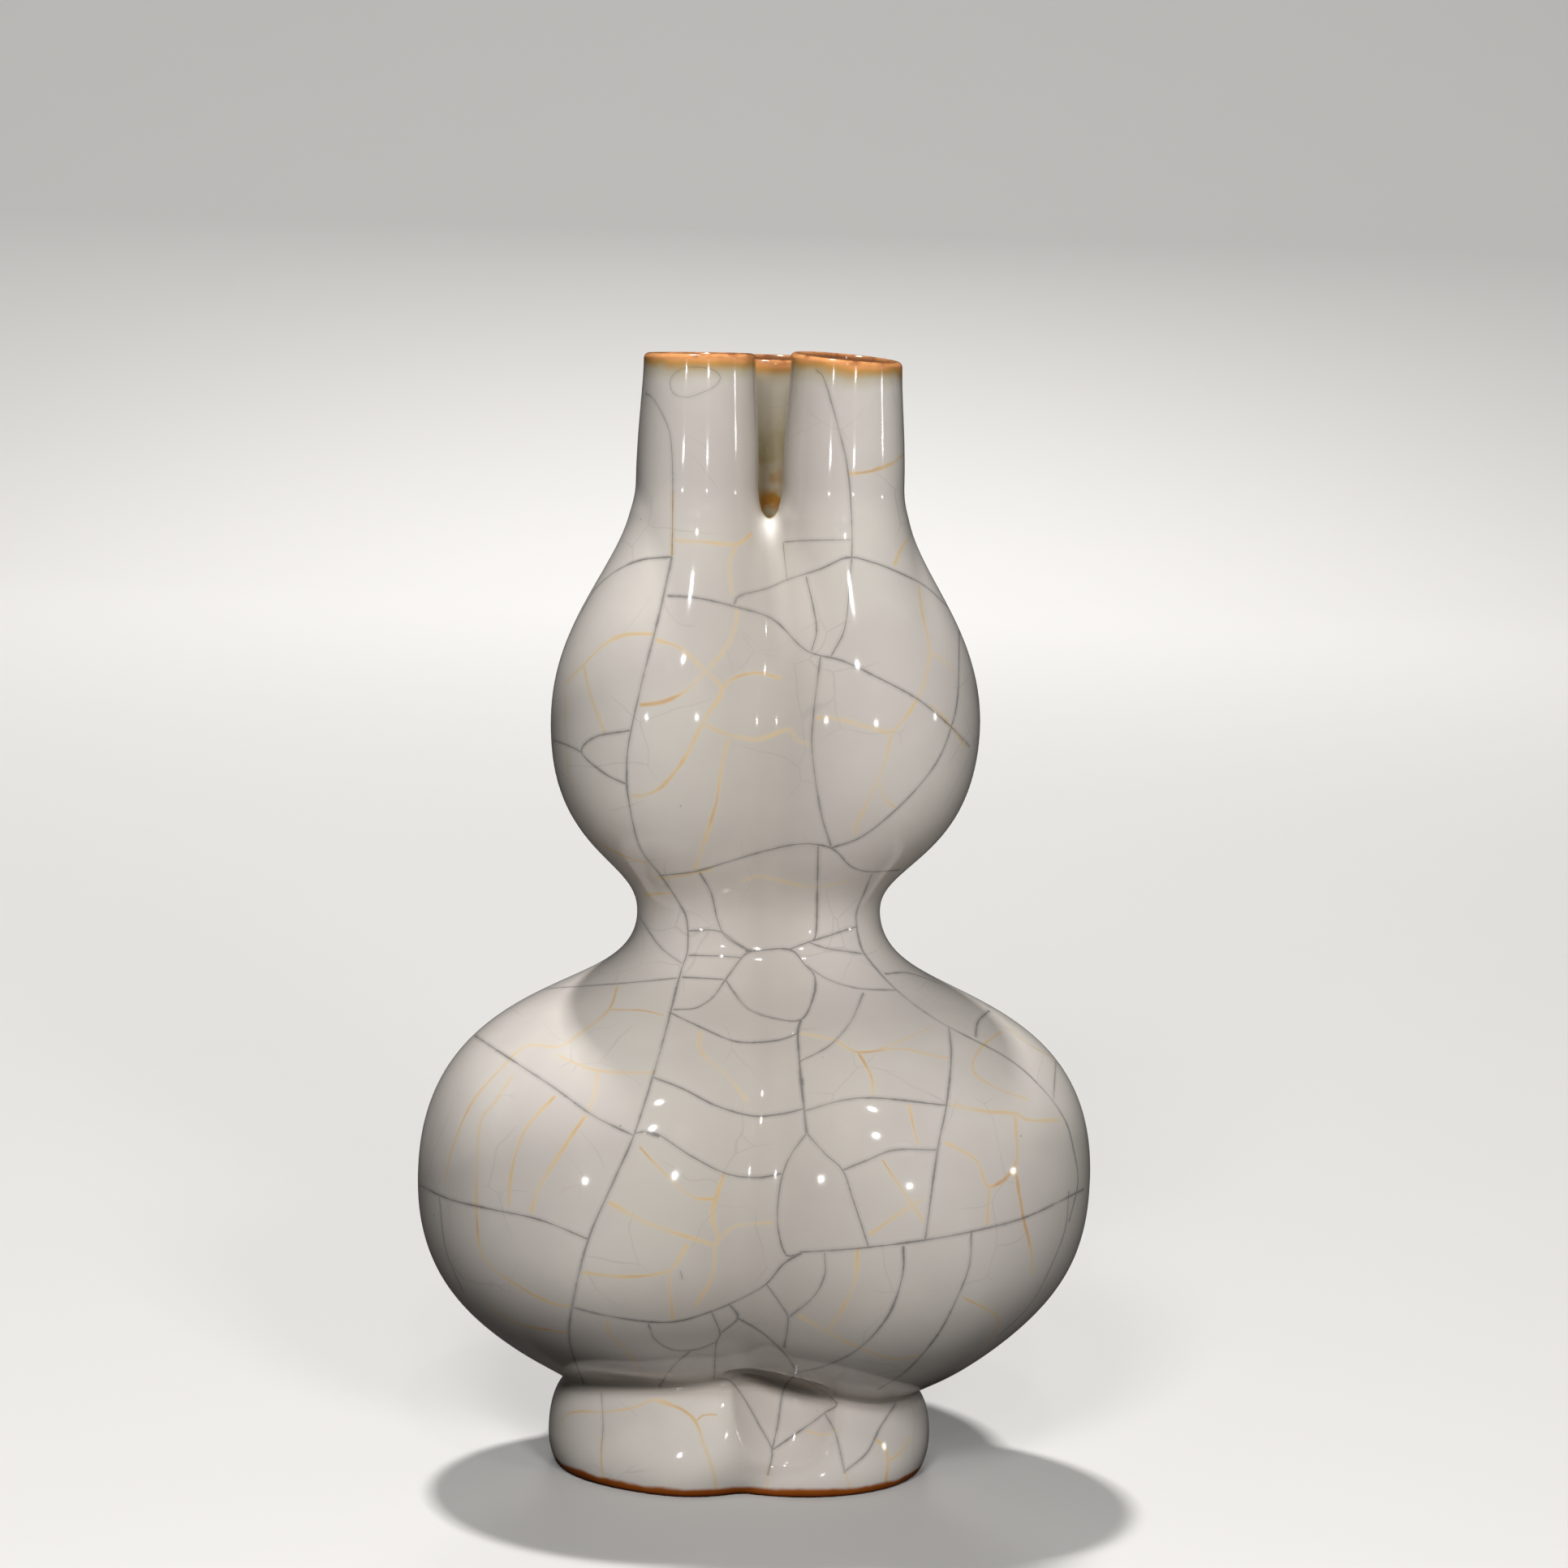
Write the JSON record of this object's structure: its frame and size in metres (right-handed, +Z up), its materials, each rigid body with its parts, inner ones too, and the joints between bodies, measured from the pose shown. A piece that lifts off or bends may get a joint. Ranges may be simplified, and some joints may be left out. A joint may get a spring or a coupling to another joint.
{
  "type": "conjoined gourd vase",
  "caption": "Pale crackle-glazed vase of joined double gourds on a lobed foot, with separate short necks rising from a shared body.",
  "frame": {"origin": "centre of the vase's bounding box, on the plane of the foot", "axes": "+Z up the vase, +X to the right and +Y to the back as the picture shows it, with one neck at the back and two in front"},
  "size_m": [0.1242, 0.1185, 0.2086],
  "materials": {
    "glaze": "thick glossy pale grey glaze with dark and golden crackle lines",
    "mouth_glaze": "the same pale glaze, thinning to iron brown at the lip",
    "foot_glaze": "the same pale glaze, with a bare iron-brown edge where it stands"
  },
  "bodies": {
    "root": {"foot_ring": "foot_glaze", "lower_bowl": "glaze", "lower_dome": "glaze", "upper_bowl": "glaze", "shoulder": "glaze", "neck_left": "mouth_glaze", "neck_right": "mouth_glaze", "neck_back": "mouth_glaze"}
  },
  "joints": []
}
